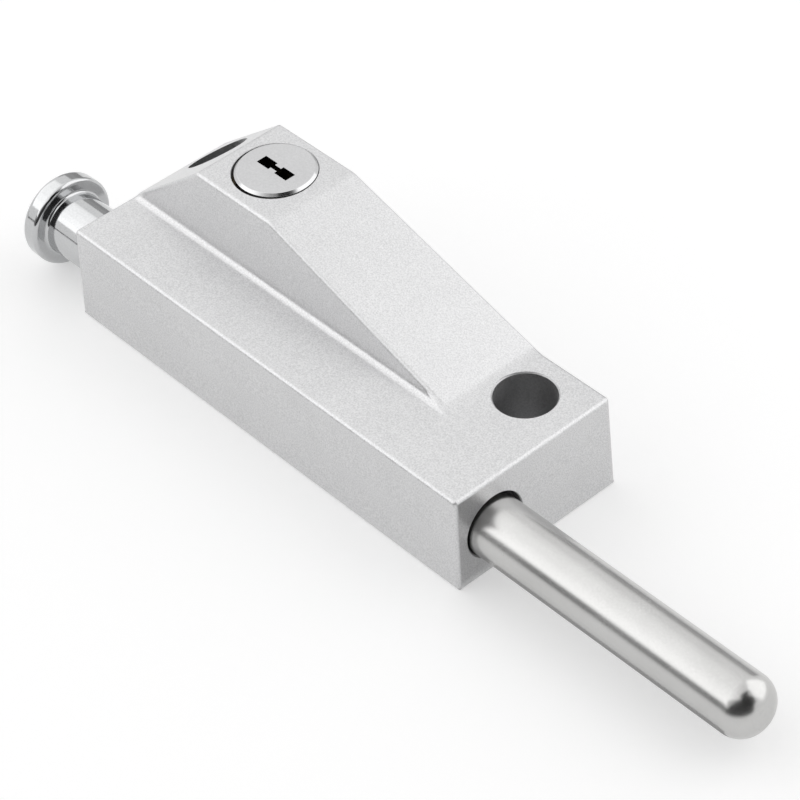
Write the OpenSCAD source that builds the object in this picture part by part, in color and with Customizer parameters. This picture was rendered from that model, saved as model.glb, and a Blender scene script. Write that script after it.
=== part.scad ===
// Surface-mounted door bolt with a key-turned lock: a round bolt slides through a die-cast
// casing, and a dog driven by the lock drops into a notch of the bolt.
// Millimetres. The origin is the centre of the casing's mounting face, +X points from the
// casing to the bolt's nose, +Z away from the door, and -Y is the side that the bolt runs on.
// At rest the bolt is thrown and the lock is open.

/* [Casing] */
// length of the casing along the bolt
body_l = 107.6; // [104:0.1:112]
// width of the casing across the bolt
body_w = 38.8; // [38:0.1:42]
// height of the low shoulder over the bolt
body_h = 20.4; // [19.8:0.1:22]
// height of the flat top around the lock
hump_h = 35.2; // [34:0.1:38]
// wall of the casing
wall = 2.4; // [2:0.1:2.6]
// lean of the casing's sides from upright, in degrees
draft_a = 1.5; // [0.5:0.1:2]
// rounding of the casing's edges
edge_r = 1; // [0.6:0.1:1.4]

/* [Hump] */
// near side of the hump where it meets the shoulder, from the lock's axis
hump_in = 11.9; // [11.6:0.1:12.3]
// how far the hump's near side leans in on its way up
hump_lean = 1.1; // [0.8:0.1:1.3]
// rear edge of the flat top, from the casing's rear end
top_rear = 19.5; // [17.8:0.1:20.3]
// front edge of the flat top, from the casing's rear end
top_front = 40.6; // [39.8:0.1:42.8]
// foot of the long front slope, from the casing's front end
slope_in = 18.8; // [18.3:0.1:20.8]
// hollow rounding along the hump's foot
foot_r = 1.2; // [0.8:0.1:1.6]

/* [Bolt] */
// diameter of the bolt
bolt_d = 12; // [11.5:0.1:12.2]
// sideways place of the bolt's axis, as a share of half the width
bolt_share = 0.5235; // [0.515:0.0005:0.53]
// height of the bolt's axis
bolt_z = 9.5; // [9.4:0.1:9.8]
// how far the thrown bolt stands out of the casing
bolt_reach = 63.7; // [62:0.1:66]
// travel from thrown to drawn back
bolt_travel = 62; // [60:0.1:62]
// rounding of the nose
nose_r = 5; // [4:0.1:5.4]
// flat at the tip of the nose
nose_flat_d = 4.5; // [3:0.1:5]
// bore of the casing's end holes
end_hole_d = 13; // [12.8:0.1:13.2]
// running clearance of the bolt in its bushes, on the radius
bolt_gap = 0.06; // [0.04:0.01:0.08]

/* [Knob] */
// diameter of the knob's flange
flange_d = 18.8; // [17:0.1:18.8]
// thickness of the flange
flange_t = 4.4; // [3.5:0.1:5]
// diameter of the knob's neck
neck_d = 13.2; // [13.1:0.1:14]
// length of the neck
neck_l = 12.9; // [12:0.1:15]

/* [Lock] */
// lock's axis from the casing's rear end
lock_in = 29.8; // [29.6:0.1:30.4]
// lock's axis from the casing's far side
lock_side = 10.8; // [10.8:0.1:11.2]
// diameter of the lock's face
face_d = 15.9; // [15.5:0.1:16.2]
// how far the face stands over the flat top
face_proud = 0.6; // [0.5:0.1:1.4]
// polished chamfer around the face
face_chamfer = 0.55; // [0.5:0.05:1]
// gap between the face and the casing, on the radius
face_gap = 0.3; // [0.3:0.05:0.4]
// diameter of the plug
plug_d = 12; // [11.8:0.1:12.1]
// running clearance of the plug in its shell, on the radius
plug_gap = 0.05; // [0.04:0.01:0.07]
// length of the keyway
key_l = 8.3; // [8:0.1:8.6]
// width of the keyway's two ends
key_w = 2.35; // [2.2:0.05:2.6]
// width of the keyway's waist
key_waist = 1.05; // [0.7:0.05:1.1]
// throw of the drive pin from the plug's axis
throw_r = 2.5; // [2.4:0.05:2.6]

/* [Fixing holes] */
// front hole from the casing's front end
front_in = 11.9; // [11.6:0.1:12.4]
// front hole from the casing's far side
front_side = 10.4; // [9.8:0.1:10.9]
// rear hole from the casing's rear end
rear_in = 9.4; // [9:0.1:9.6]
// rear hole from the casing's far side
rear_side = 9; // [8.8:0.1:9.6]
// diameter of the recess for the screw's head
head_d = 11.9; // [11.5:0.1:12.2]
// diameter of the hole for the screw's shank
shank_d = 5.5; // [5:0.1:6]
// floor that the screw's head bears on
floor_t = 3; // [2.5:0.1:4]

/* [Base plate] */
// thickness of the steel base plate
plate_t = 1.5; // [1.2:0.1:1.6]
// ledge of the casing that the plate rests on
ledge = 0.9; // [0.7:0.1:1.1]

/* [Wafers] */
// number of wafers, odd and even together
wafer_n = 6; // [4:1:6]
// distance from one wafer to the next
wafer_pitch = 3; // [2.8:0.1:3]
// thickness of a wafer
wafer_t = 0.8; // [0.7:0.05:0.85]
// width of a wafer
wafer_w = 4.4; // [4.2:0.1:4.5]

/* [Hidden] */
$fn = 64;
e = 0.01;

// casing
hl = body_l / 2;
hw = body_w / 2;
lock_x = -hl + lock_in;
lock_y = hw - lock_side;
bolt_y = -hw * bolt_share;
hump_y = lock_y - hump_in;
top_x0 = -hl + top_rear;
top_x1 = -hl + top_front;
slope_x = hl - slope_in;
front_x = hl - front_in;
front_y = hw - front_side;
rear_x = -hl + rear_in;
rear_y = hw - rear_side;
lean_t = tan(draft_a);
side_in = wall + lean_t * body_h;
foot_in = lean_t * body_h;
top_in = lean_t * hump_h;
rear_slope = atan2(hump_h - body_h, top_x0 + hl - foot_in);
front_slope = atan2(hump_h - body_h, slope_x - top_x1);
seat = plate_t;

// bolt
br = bolt_d / 2;
tip_x = hl + bolt_reach;
bolt_x0 = -hl - 0.25;
dog_gap = 0.25;
dog_x = lock_x;
dog_w = 11;
nose_w = 7;
notch_w = nose_w + 0.8;
notch_d = 3.8;
bush_r = 7.3;
bush_l = 8;
boss_r = bush_r + 1.5;
pin_r = 2;
pin_x = -hl + 15.8;
slot_w = 2 * pin_r + 0.3;
slot_d = 2.6;
slot_x0 = pin_x - pin_r - 0.1;
slot_x1 = pin_x + bolt_travel + pin_r + 0.1;

// lock, from the bottom up
shell_z = 11;
shell_top = hump_h - 2.2;
shell_r = 8.95;
socket_r = shell_r + 0.05;
lock_boss_r = socket_r + 1.7;
bore_r = face_d / 2 + face_gap;
// the lock sits a little off the middle of its opening
bore_off = [-0.17, -0.17, 0];
// the end holes sit a little above the bolt's axis
end_off = [0, 0.15, 0.3];
pr = plug_d / 2;
face_z = hump_h + face_proud;
head_z = shell_top + 0.2;
cap_t = 0.75;
cap_wall = 0.65;
tail_r = 4.8;
clip_z = 10.2;
clip_t = 0.6;
cam_z = 7.2;
cam_t = 2.4;
cam_r = 4.3;
drive_r = 1.5;
drive_gap = 0.15;
dog_z = seat + 0.2;
dog_t = 5;
wafer_z = 15.5;
wafer_gap = 0.05;
wafer_end = pr - 0.05;
groove_r = pr + 0.75;
rib_t = 1.8;
rib_x = dog_w / 2 + 0.2;
clamp_r = 10.9;
clamp_a = [-165, -15];
odd = [0 : 2 : wafer_n - 1];
even = [1 : 2 : wafer_n - 1];
plate_screws = [[hl - 25.8, hw - 6.9], [hl - 25.8, bolt_y + 10.5], [lock_x + 16.3, hw - 6.9],
  [-hl + 14.3, bolt_y + 9.5]];
screw_boss_r = 2.8;
screw_shank_r = 1.2;
screw_head_r = 2.7;
spring_x = [for (x = [29.8, 24.8, 20.3, 16.3, 11.8]) hl - x];
rivet_x = spring_x[0] + 2.2;
stud_r = 2.5;
stud_rear = 11.5;
stud_front = 13.5;
clip_r = 6.5;

casting_c = [0.78, 0.78, 0.79];
steel_c = [0.62, 0.63, 0.65];
chrome_c = [0.85, 0.86, 0.88];
dark_c = [0.16, 0.16, 0.17];
brass_c = [0.78, 0.66, 0.38];

function arc(x, z, r, a0, a1, n = 8) =
  [for (i = [0 : n]) let (a = a0 + (a1 - a0) * i / n) [x + r * cos(a), z + r * sin(a)]];

// a flat outline in X and Z, drawn out along Y
module along_y(y0, y1) {
  translate([0, y1, 0]) rotate([90, 0, 0]) linear_extrude(y1 - y0) children();
}

// a flat outline in Y and Z, drawn out along X
module along_x(x0, x1) {
  translate([x0, 0, 0]) rotate([90, 0, 90]) linear_extrude(x1 - x0) children();
}

module box(x, y, z) {
  translate([x[0], y[0], z[0]]) cube([x[1] - x[0], y[1] - y[0], z[1] - z[0]]);
}

// the outline of a turned piece: radius first, then place along X
module turned_x(points) {
  rotate([0, 90, 0]) rotate_extrude() polygon(points);
}

module at_bolt() {
  translate([0, bolt_y, bolt_z]) children();
}

module at_lock() {
  translate([lock_x, lock_y, 0]) children();
}

// the low part of the casing, with leaning sides and rounded edges
module low_form() {
  r = edge_r + 0.3;
  hull() {
    for (sx = [-1, 1], sy = [-1, 1]) {
      translate([sx * (hl - r), sy * (hw - r), 0]) cylinder(r = r, h = 0.2, $fn = 32);
      translate([sx * (hl - foot_in - edge_r), sy * (hw - foot_in - edge_r), body_h - edge_r])
        sphere(r = edge_r, $fn = 32);
    }
  }
}

// the raised part over the lock, sloping down to both ends
module hump_form() {
  r = edge_r;
  z0 = body_h - r - 0.1;
  z1 = body_h - r * (1 - sin(rear_slope)) / cos(rear_slope);
  x0 = -hl + foot_in + r + 0.15;
  x1 = slope_x + ((r + 0.1) * cos(front_slope) - r) / sin(front_slope);
  far = hw - foot_in - r - 0.1;
  far_top = hw - top_in - r - 0.1;
  near = hump_y + r;
  near_top = hump_y + hump_lean + r;
  hull() {
    for (y = [near_top, far_top], x = [top_x0 + r * tan(rear_slope / 2),
      top_x1 - r * tan(front_slope / 2)]) translate([x, y, hump_h - r]) sphere(r = r, $fn = 28);
    for (y = [near, far], p = [[x0, z1], [x0, z0], [x1, z0]])
      translate([p[0], y, p[1]]) sphere(r = r, $fn = 28);
  }
}

// the hollow rounding where the hump's near side meets the shoulder
module foot_blend() {
  a = atan2(hump_lean, hump_h - body_h);
  rc = foot_r - 0.06;
  yc = hump_y - rc * (1 - sin(a)) / cos(a);
  intersection() {
    along_x(-hl + foot_in + 0.6, slope_x)
      polygon(concat(arc(yc, body_h + rc, foot_r, -a, -90),
        [[yc, body_h - 0.4], [hump_y + 1.5, body_h - 0.4], [hump_y + 1.5, body_h + rc]]));
    along_y(hump_y - 3, hump_y + 3)
      polygon([[-hl, body_h - 0.5], [-hl + foot_in + 0.4, body_h], [top_x0, hump_h - 0.2],
        [top_x1, hump_h - 0.2], [slope_x - 0.4, body_h], [slope_x, body_h - 0.5]]);
  }
}

module casing_form() {
  low_form();
  hump_form();
  foot_blend();
}

// the room inside the casing, open underneath
module casing_room() {
  z1 = body_h - wall;
  drop_r = wall / cos(rear_slope);
  drop_f = wall / cos(front_slope);
  x0 = -hl + foot_in + (drop_r - wall) / tan(rear_slope);
  x1 = slope_x - (drop_f - wall) / tan(front_slope);
  difference() {
    union() {
      box([-hl + side_in, hl - side_in], [-hw + side_in, hw - side_in], [-1, z1]);
      along_y(hump_y + hump_lean + wall, hw - top_in - wall)
        polygon([[x0 - 0.6, z1 - 0.5], [x0, z1], [top_x0 + wall * tan(rear_slope / 2), hump_h - wall],
          [top_x1 - wall * tan(front_slope / 2), hump_h - wall], [x1, z1], [x1 + 1, z1 - 0.5]]);
    }
    casing_bosses();
  }
}

module casing_bosses() {
  // pillars around the fixing screws
  for (p = [[front_x, front_y], [rear_x, rear_y]])
    translate([p[0], p[1], seat]) cylinder(r = head_d / 2 + 2.2, h = 40);
  // socket for the lock's shell, with lugs for the clamp screws
  difference() {
    at_lock() translate([0, 0, shell_z]) linear_extrude(40) {
      circle(r = lock_boss_r);
      for (a = clamp_a) rotate(a) translate([clamp_r, 0]) circle(r = screw_boss_r);
    }
    at_bolt() translate([-hl, 0, 0]) rotate([0, 90, 0]) cylinder(r = br + 0.8, h = body_l);
  }
  // seats for the two bushes
  at_bolt() for (x = [-hl + wall - 1, hl - wall - bush_l - 0.1])
    translate([x, 0, 0]) rotate([0, 90, 0]) cylinder(r = boss_r, h = bush_l + 1.1);
  // bosses for the base plate's screws
  for (p = plate_screws) translate([p[0], p[1], seat]) cylinder(r = screw_boss_r, h = 40);
  // ribs that the dog slides between
  for (s = [-1, 1]) difference() {
    translate([dog_x + s * (rib_x + rib_t / 2) - rib_t / 2, lock_y - 11.3, seat])
      cube([rib_t, 2 * hw, shell_z - seat + 0.4]);
    at_lock() translate([0, 0, dog_z + dog_t + 0.4]) cylinder(r = socket_r - 0.1, h = 20);
  }
}

module body_casting() color(casting_c) {
  difference() {
    casing_form();
    casing_room();
    // rebate for the base plate
    box([-hl + side_in - ledge, hl - side_in + ledge],
      [-hw + side_in - ledge, hw - side_in + ledge], [-1, seat]);
    // end holes and bush bores
    at_bolt() {
      translate(end_off - [hl + 1, 0, 0]) rotate([0, 90, 0]) cylinder(d = end_hole_d, h = body_l + 2);
      for (x = [-hl + wall, hl - wall - bush_l - 1])
        translate([x, 0, 0]) rotate([0, 90, 0]) cylinder(r = bush_r, h = bush_l + 1);
    }
    // room for the dog's nose beside the bolt
    box([dog_x - rib_x, dog_x + rib_x], [bolt_y, lock_y - 4.3], [seat, shell_z]);
    // lock socket and the opening for the lock's face
    at_lock() {
      difference() {
        translate([0, 0, shell_z - 1]) cylinder(r = socket_r, h = shell_top - shell_z + 1);
        translate([-1.2, 7.8, shell_z]) cube([2.4, 3, 8]);
      }
      translate(bore_off + [0, 0, shell_z]) cylinder(r = bore_r, h = 40);
      for (a = clamp_a) rotate(a) translate([clamp_r, 0, shell_z - 1]) cylinder(r = 1.25, h = 10);
    }
    // fixing holes
    for (p = [[front_x, front_y], [rear_x, rear_y]]) translate([p[0], p[1], 0]) {
      translate([0, 0, seat + floor_t]) cylinder(d = head_d, h = 50);
      cylinder(d = shank_d, h = 20);
    }
    for (p = plate_screws) translate([p[0], p[1], seat - 1]) cylinder(r = 1.3, h = 7.5);
  }
}

module base_plate() color(steel_c) {
  gap = 0.1;
  difference() {
    box([-hl + side_in - ledge + gap, hl - side_in + ledge - gap],
      [-hw + side_in - ledge + gap, hw - side_in + ledge - gap], [0, seat]);
    for (p = [[front_x, front_y], [rear_x, rear_y]])
      translate([p[0], p[1], -1]) cylinder(d = shank_d + 0.6, h = 4);
    for (p = plate_screws) translate([p[0], p[1], 0]) {
      translate([0, 0, -1]) cylinder(r = 1.6, h = 4);
      translate([0, 0, -e]) cylinder(r1 = 2.9, r2 = 1.6, h = 1.2);
    }
    translate([pin_x, bolt_y, -1]) cylinder(r = 1.5, h = 4);
    translate([pin_x, bolt_y, -e]) cylinder(r1 = 2.3, r2 = 1.5, h = 0.8);
    translate([rivet_x, bolt_y, -1]) cylinder(r = 1, h = 4);
    translate([rivet_x, bolt_y, -e]) cylinder(r1 = 1.8, r2 = 1, h = 0.8);
  }
}

// countersunk screws that hold the base plate to the casing
module base_plate_screws() color(steel_c) {
  for (p = plate_screws) translate([p[0], p[1], 0]) difference() {
    union() {
      translate([0, 0, 0.1]) cylinder(r1 = screw_head_r, r2 = screw_shank_r, h = 1.3);
      translate([0, 0, 0.1]) cylinder(r = screw_shank_r, h = 6.9);
    }
    for (a = [0, 90]) rotate(a) translate([-1.4, -0.3, -1]) cube([2.8, 0.6, 1.8]);
  }
}

// pin riveted into the base plate: it stops the bolt from turning and ends its travel
module guide_pin() color(steel_c) {
  translate([pin_x, bolt_y, 0]) {
    translate([0, 0, 0.1]) cylinder(r1 = 2.1, r2 = 1.4, h = 0.7);
    translate([0, 0, 0.1]) cylinder(r = 1.4, h = seat + 0.4);
    translate([0, 0, seat]) cylinder(r = pin_r, h = bolt_z - br + slot_d - 0.3 - seat);
  }
}

// bowed strip that presses up on the bolt so that it stays where it is put
module friction_spring() color(steel_c) {
  t = 0.4;
  top = bolt_z - br - 0.03;
  z = [seat, seat, top - t, top - t, seat];
  difference() {
    along_y(bolt_y - 2.3, bolt_y + 2.3)
      polygon(concat([for (i = [0 : 4]) [spring_x[i], z[i]]],
        [for (i = [4 : -1 : 0]) [spring_x[i], z[i] + t]]));
    translate([rivet_x, bolt_y, 0]) cylinder(r = 1, h = 5);
  }
}

module friction_spring_rivet() color(steel_c) {
  translate([rivet_x, bolt_y, 0]) {
    translate([0, 0, 0.1]) cylinder(r1 = 1.6, r2 = 0.9, h = 0.7);
    translate([0, 0, 0.1]) cylinder(r = 0.9, h = seat + 0.6);
    translate([0, 0, seat + 0.4]) cylinder(r1 = 1.7, r2 = 1.2, h = 0.6);
  }
}

// plain sleeve that the bolt runs in
module bush(x) {
  at_bolt() translate([x, 0, 0]) rotate([0, 90, 0]) difference() {
    cylinder(r = bush_r - 0.05, h = bush_l);
    translate([0, 0, -1]) cylinder(r = br + bolt_gap, h = bush_l + 2);
  }
}

module front_bush() color(dark_c) bush(hl - wall - bush_l);

module rear_bush() color(dark_c) bush(-hl + wall);

// the round bolt, with two notches for the dog, a slot for the guide pin and a tapped end
module bolt_rod() color(chrome_c) {
  a1 = asin((nose_flat_d / 2 - br + nose_r) / nose_r);
  cx = tip_x - nose_r * cos(a1);
  difference() {
    at_bolt() turned_x(concat([[0, bolt_x0], [br - 0.5, bolt_x0], [br, bolt_x0 + 0.5]],
      arc(br - nose_r, cx, nose_r, 0, 90 - a1, 12), [[0, tip_x]]));
    for (x = [dog_x, dog_x + bolt_travel])
      box([x - notch_w / 2, x + notch_w / 2], [bolt_y + br - notch_d, bolt_y + br + 1],
        [bolt_z - br - 1, bolt_z + br + 1]);
    box([slot_x0 + slot_w / 2, slot_x1 - slot_w / 2], [bolt_y - slot_w / 2, bolt_y + slot_w / 2],
      [bolt_z - br - 1, bolt_z - br + slot_d]);
    for (x = [slot_x0 + slot_w / 2, slot_x1 - slot_w / 2])
      translate([x, bolt_y, bolt_z - br - 1]) cylinder(d = slot_w, h = slot_d + 1);
    at_bolt() translate([bolt_x0 - 1, 0, 0]) rotate([0, 90, 0]) cylinder(r = stud_r + 0.05, h = stud_front + 1.5);
  }
}

// turned knob with a wide flange to pull on
module pull_knob() color(chrome_c) {
  xn = bolt_x0 - e;
  xf = xn - neck_l;
  xr = xf - flange_t;
  fr = flange_d / 2;
  nr = neck_d / 2;
  difference() {
    at_bolt() turned_x(concat([[0, xr]],
      arc(fr - 1.4, xr + 1.4, 1.4, -90, 0), arc(fr - 0.9, xf - 0.9, 0.9, 0, 90),
      arc(nr + 1.2, xf + 1.2, 1.2, 270, 180), [[nr, xn - 0.4], [nr - 0.4, xn], [0, xn]]));
    at_bolt() translate([xn - stud_rear - 0.5, 0, 0]) rotate([0, 90, 0])
      cylinder(r = stud_r + 0.05, h = stud_rear + 1.5);
  }
}

// threaded stud that joins the knob to the bolt
module knob_stud() color(steel_c) {
  x0 = bolt_x0 - stud_rear;
  x1 = bolt_x0 + stud_front;
  at_bolt() turned_x([[0, x0], [stud_r - 0.5, x0], [stud_r, x0 + 0.5], [stud_r, x1 - 0.5],
    [stud_r - 0.5, x1], [0, x1]]);
}

// fixed housing that the plug turns in, with four grooves for the wafers' ends
module lock_shell() color(brass_c) {
  at_lock() difference() {
    translate([0, 0, shell_z]) cylinder(r = shell_r, h = shell_top - shell_z);
    translate([0, 0, shell_z - 1]) cylinder(r = pr + plug_gap, h = 40);
    for (a = [0, 90]) rotate(a)
      translate([-groove_r, -wafer_w / 2 - 0.25, wafer_z - 1.5])
        cube([2 * groove_r, wafer_w + 0.5, wafer_pitch * (wafer_n - 1) + 3]);
    translate([-1.3, 7.7, shell_z - 1]) cube([2.6, 3, 9.2]);
  }
}

module lock_clamp_screws() color(steel_c) {
  at_lock() for (a = clamp_a) rotate(a) translate([clamp_r, 0, 0]) difference() {
    union() {
      translate([0, 0, shell_z - 1.8]) cylinder(r1 = screw_boss_r - 0.5, r2 = screw_boss_r, h = 0.5);
      translate([0, 0, shell_z - 1.3]) cylinder(r = screw_boss_r, h = 1.3);
      translate([0, 0, shell_z - 1]) cylinder(r = screw_shank_r, h = 9.5);
    }
    for (b = [0, 90]) rotate(b) translate([-1.3, -0.3, shell_z - 2]) cube([2.6, 0.6, 1.1]);
  }
}

// two wide ends joined by a narrow waist, along the casing
module keyway(z0, z1) {
  end_l = 3.3;
  translate([-key_l / 2, -key_w / 2, z0]) cube([end_l, key_w, z1 - z0]);
  translate([key_l / 2 - end_l, -key_w / 2, z0]) cube([end_l, key_w, z1 - z0]);
  translate([-key_l / 2 + 1, -key_waist / 2, z0]) cube([key_l - 2, key_waist, z1 - z0]);
}

// room in the plug for one wafer, its side arm and its spring: s is the side of the arm
module wafer_slot(z, s) {
  translate([-10, -wafer_w / 2 - wafer_gap, z - wafer_t / 2 - wafer_gap])
    cube([20, wafer_w + 2 * wafer_gap, wafer_t + 2 * wafer_gap]);
  mirror([0, s < 0 ? 1 : 0, 0]) mirror([s < 0 ? 1 : 0, 0, 0])
    translate([-4.1, wafer_w / 2 - 0.1, z - 0.8]) cube([5.4, 8, 1.6]);
}

module lock_plug() color(brass_c) {
  at_lock() difference() {
    union() {
      translate([0, 0, shell_z + 0.1]) cylinder(r = pr, h = head_z - shell_z - 0.1 + e);
      translate([0, 0, head_z]) cylinder(r = face_d / 2 - cap_wall - 0.05, h = face_z - cap_t - head_z);
      translate([0, 0, cam_z + cam_t]) cylinder(r = tail_r, h = shell_z + 0.2 - cam_z - cam_t);
      translate([-2.5, -2.5, cam_z + 0.9]) cube([5, 5, 3]);
    }
    // groove for the clip
    translate([0, 0, clip_z - 0.05]) difference() {
      cylinder(r = clip_r + 0.5, h = clip_t + 0.1);
      translate([0, 0, -1]) cylinder(r = 4, h = 4);
    }
    keyway(wafer_z - 1.6, hump_h + 5);
    for (i = odd) wafer_slot(wafer_z + i * wafer_pitch, 1);
    for (i = even) wafer_slot(wafer_z + i * wafer_pitch, -1);
  }
}

// thin cap crimped over the plug's head: the face that carries the keyway
module lock_face_cap() color(chrome_c) {
  r = face_d / 2;
  at_lock() difference() {
    rotate_extrude() polygon([[0, face_z - cap_t], [r - cap_wall, face_z - cap_t],
      [r - cap_wall, head_z + 0.1], [r, head_z + 0.1], [r, face_z - face_chamfer * 0.8],
      [r - face_chamfer, face_z], [0, face_z]]);
    keyway(hump_h - 1, hump_h + 5);
  }
}

module plug_clip() color(steel_c) {
  at_lock() translate([0, 0, clip_z]) difference() {
    cylinder(r = clip_r, h = clip_t);
    translate([0, 0, -1]) cylinder(r = 4.05, h = 4);
    translate([-3, 0, -1]) cube([6, 8, 4]);
  }
}

// disc on the plug's tail with the pin that drives the dog
module drive_cam() color(steel_c) {
  at_lock() {
    difference() {
      translate([0, 0, cam_z]) cylinder(r = cam_r, h = cam_t);
      translate([-2.53, -2.53, cam_z + 0.8]) cube([5.06, 5.06, 3]);
    }
    rotate(135) translate([throw_r, 0, dog_z + 0.6]) cylinder(r = drive_r, h = cam_z - dog_z - 0.6 + e);
  }
}

// sliding block: its cross slot takes the drive pin and its nose enters the bolt's notch
module locking_dog() color(steel_c) {
  tip = bolt_y + br + dog_gap;
  plate_y = lock_y - 6.9;
  pin_y = lock_y + throw_r * sin(135);
  difference() {
    union() {
      box([dog_x - dog_w / 2, dog_x + dog_w / 2], [plate_y, lock_y + 5.9], [dog_z, dog_z + dog_t]);
      box([dog_x - nose_w / 2, dog_x + nose_w / 2], [tip, plate_y + e], [dog_z, shell_z - 0.4]);
    }
    box([dog_x - throw_r - drive_r - 0.3, dog_x],
      [pin_y - drive_r - drive_gap, pin_y + drive_r + drive_gap], [dog_z - 1, dog_z + dog_t + 1]);
  }
}

// thin frame around the keyway, with a side arm for its spring
module wafer(z, s) {
  translate([0, 0, z - wafer_t / 2]) difference() {
    union() {
      intersection() {
        cylinder(r = wafer_end, h = wafer_t);
        translate([-10, -wafer_w / 2, -1]) cube([20, wafer_w, 4]);
      }
      translate([-0.4, s > 0 ? 0 : -3.8, 0]) cube([0.8, 3.8, wafer_t]);
    }
    translate([-3.9, -key_w / 2 - 0.05, -1]) cube([7.8, key_w + 0.1, 4]);
  }
}

module wafers_odd() color(brass_c) at_lock() for (i = odd) wafer(wafer_z + i * wafer_pitch, 1);

module wafers_even() color(brass_c) at_lock() for (i = even) wafer(wafer_z + i * wafer_pitch, -1);

// fine coil spring along X, from the pocket's end to the wafer's arm
module wafer_spring(z, s) {
  turns = 4.5;
  mirror([s < 0 ? 1 : 0, 0, 0]) translate([-4.05, s * 3.1, z]) rotate([0, 90, 0])
    linear_extrude(height = 3.6, twist = 360 * turns, slices = 54, $fn = 6)
      translate([0.48, 0]) circle(r = 0.14, $fn = 6);
}

module wafer_springs_odd() color(steel_c) at_lock() {
  for (i = odd) wafer_spring(wafer_z + i * wafer_pitch, 1);
}

module wafer_springs_even() color(steel_c) at_lock() {
  for (i = even) wafer_spring(wafer_z + i * wafer_pitch, -1);
}

body_casting();
base_plate();
base_plate_screws();
guide_pin();
friction_spring();
friction_spring_rivet();
front_bush();
rear_bush();
bolt_rod();
pull_knob();
knob_stud();
lock_shell();
lock_clamp_screws();
lock_plug();
lock_face_cap();
plug_clip();
drive_cam();
locking_dog();
wafers_odd();
wafers_even();
wafer_springs_odd();
wafer_springs_even();
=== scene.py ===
"""Looks of a surface-mounted door bolt with a key-turned lock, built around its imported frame.

Solids are drawn in millimetres on the frame's own axes, X along the bolt and Z away from the
door, and become metres when they are finished. The finishes and the studio are in metres.
"""

import logging
import math
from collections.abc import Sequence
from dataclasses import dataclass, field
from enum import Enum
from typing import Any

import bmesh
import bpy
from mathutils import Matrix, Vector


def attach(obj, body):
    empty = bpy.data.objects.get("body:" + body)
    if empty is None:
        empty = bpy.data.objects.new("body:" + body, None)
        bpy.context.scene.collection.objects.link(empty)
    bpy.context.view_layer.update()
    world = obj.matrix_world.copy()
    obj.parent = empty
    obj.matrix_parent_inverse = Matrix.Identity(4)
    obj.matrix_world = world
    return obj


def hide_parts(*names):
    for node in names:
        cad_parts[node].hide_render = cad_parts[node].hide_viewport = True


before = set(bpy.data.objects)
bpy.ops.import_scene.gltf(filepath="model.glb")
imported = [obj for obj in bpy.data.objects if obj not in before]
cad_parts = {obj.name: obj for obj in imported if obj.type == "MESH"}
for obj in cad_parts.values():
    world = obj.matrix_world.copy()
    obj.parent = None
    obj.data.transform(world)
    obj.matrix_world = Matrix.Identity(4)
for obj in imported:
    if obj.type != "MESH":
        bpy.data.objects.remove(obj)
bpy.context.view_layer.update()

log = logging.getLogger("door_bolt")

Pair = tuple[float, float]
Triple = tuple[float, float, float]
Outline = Sequence[Pair]

MM = 0.001
# points closer than this, in millimetres, are one: while a solid is drawn, and once it is cut
DRAWN = 1e-5
WELDED = 1e-4
# neighbouring faces that turn by less than this, in radians, are one flat face
FLAT = 0.004
# a face whose normal rises by more than this looks up
LEVEL = 0.9
# a cutting solid reaches this far, in millimetres, past the surface that it opens
OVER = 1.0
# a height above the whole casing, in millimetres
ABOVE = 45.0
# facets around a hole or boss, around what shows up close, and around small screws
STEPS = 96
FINE_STEPS = 128
SMALL_STEPS = 48

# where the bolt's axis runs, as Y and Z, and where the lock's axis stands, as X and Y
BOLT_AXIS = (-10.156, 9.5)
LOCK_AXIS = (-24.0, 8.6)

WHITE = (1, 1, 1, 1)


class Axis(Enum):
    """An axis with the turn that takes a shape drawn along +Z to it, or for Y to -Y."""

    X = Matrix(((0, 0, 1), (1, 0, 0), (0, 1, 0))).to_4x4()
    Y = Matrix(((1, 0, 0), (0, 0, -1), (0, 1, 0))).to_4x4()
    Z = Matrix.Identity(4)


class Carve(Enum):
    """How one solid works on another."""

    TAKE = "DIFFERENCE"
    JOIN = "UNION"


# shader maths


class Sock:
    """A node's output socket with the arithmetic that the finishes use."""

    def __init__(self, graph: "Graph", out: bpy.types.NodeSocket) -> None:
        """Keeps the socket and the graph that it belongs to."""
        self.graph = graph
        self.out = out

    def _math(self, operation: str, *values: "float | Sock") -> "Sock":
        """Adds one Math node.

        Args:
            operation: Blender's name for the operation.
            values: the numbers or sockets that it works on.

        Returns:
            The node's result.
        """
        inputs = dict(enumerate(values))
        return self.graph.node("ShaderNodeMath", {"operation": operation}, inputs)

    def __add__(self, other: "float | Sock") -> "Sock":
        """Sum."""
        return self._math("ADD", self, other)

    def __radd__(self, other: float) -> "Sock":
        """Sum with a plain number on the left."""
        return self._math("ADD", other, self)

    def __sub__(self, other: "float | Sock") -> "Sock":
        """Difference."""
        return self._math("SUBTRACT", self, other)

    def __rsub__(self, other: float) -> "Sock":
        """Difference from a plain number."""
        return self._math("SUBTRACT", other, self)

    def __mul__(self, other: "float | Sock") -> "Sock":
        """Product."""
        return self._math("MULTIPLY", self, other)

    def __rmul__(self, other: float) -> "Sock":
        """Product with a plain number on the left."""
        return self._math("MULTIPLY", other, self)

    def above(self, low: float, high: float) -> "Sock":
        """A smooth step from 0 at low to 1 at high.

        Args:
            low: value where the step starts.
            high: value where it ends.

        Returns:
            The mask.
        """
        settings = {"interpolation_type": "SMOOTHSTEP"}
        inputs = {"Value": self, "From Min": low, "From Max": high}
        return self.graph.node("ShaderNodeMapRange", settings, inputs)


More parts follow.
